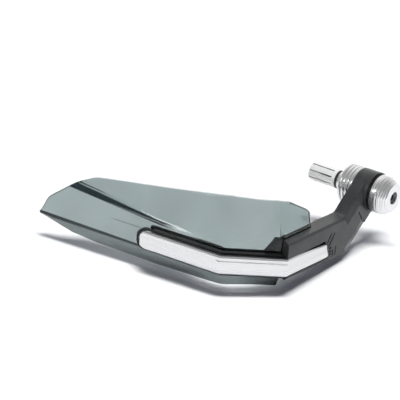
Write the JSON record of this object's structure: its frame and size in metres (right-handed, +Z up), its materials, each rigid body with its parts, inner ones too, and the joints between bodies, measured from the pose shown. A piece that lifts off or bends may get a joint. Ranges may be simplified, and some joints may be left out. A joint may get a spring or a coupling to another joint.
{
  "type": "motorcycle hand guard",
  "caption": "Left-hand motorcycle hand guard: folded smoked wind shield and bright trim strip on a ribbed black arm, clamped in the handlebar end by an expanding sleeve.",
  "frame": {"origin": "on the handlebar axis, on the seat of the bar-end cup that the end of the handlebar tube butts against", "axes": "+X outboard along the handlebar, +Y back towards the rider, +Z up; the guard reaches forward along -Y and inboard along -X"},
  "size_m": [0.2516, 0.1993, 0.0765],
  "materials": {
    "arm_nylon": "glass-filled nylon, moulded, fine satin grain",
    "smoked_pane": "smoked clear polycarbonate, polished, darker at its edges",
    "rail_plastic": "black moulded plastic, satin",
    "brushed_strip": "aluminium bar, brushed along its length, clear anodised",
    "turned_aluminium": "turned aluminium, bright, fine lathe rings",
    "sleeve_aluminium": "turned aluminium, satin",
    "zinc_steel": "zinc plated steel",
    "dark_steel": "black oxide steel bolt",
    "ring_rubber": "black nitrile rubber",
    "washer_plastic": "black nylon",
    "screw_steel": "stainless steel"
  },
  "bodies": {
    "root": {"guard_arm": "arm_nylon", "wind_shield": "smoked_pane", "front_rail": "rail_plastic", "trim_strip": "brushed_strip", "bar_end_cup": "turned_aluminium", "bar_end_weight": "turned_aluminium", "expansion_sleeve": "sleeve_aluminium", "cone_nut": "zinc_steel", "bar_end_bolt": "dark_steel", "sealing_ring": "ring_rubber", "eye_washer": "washer_plastic", "arm_screws": "screw_steel", "shield_screws": "screw_steel"}
  },
  "joints": []
}
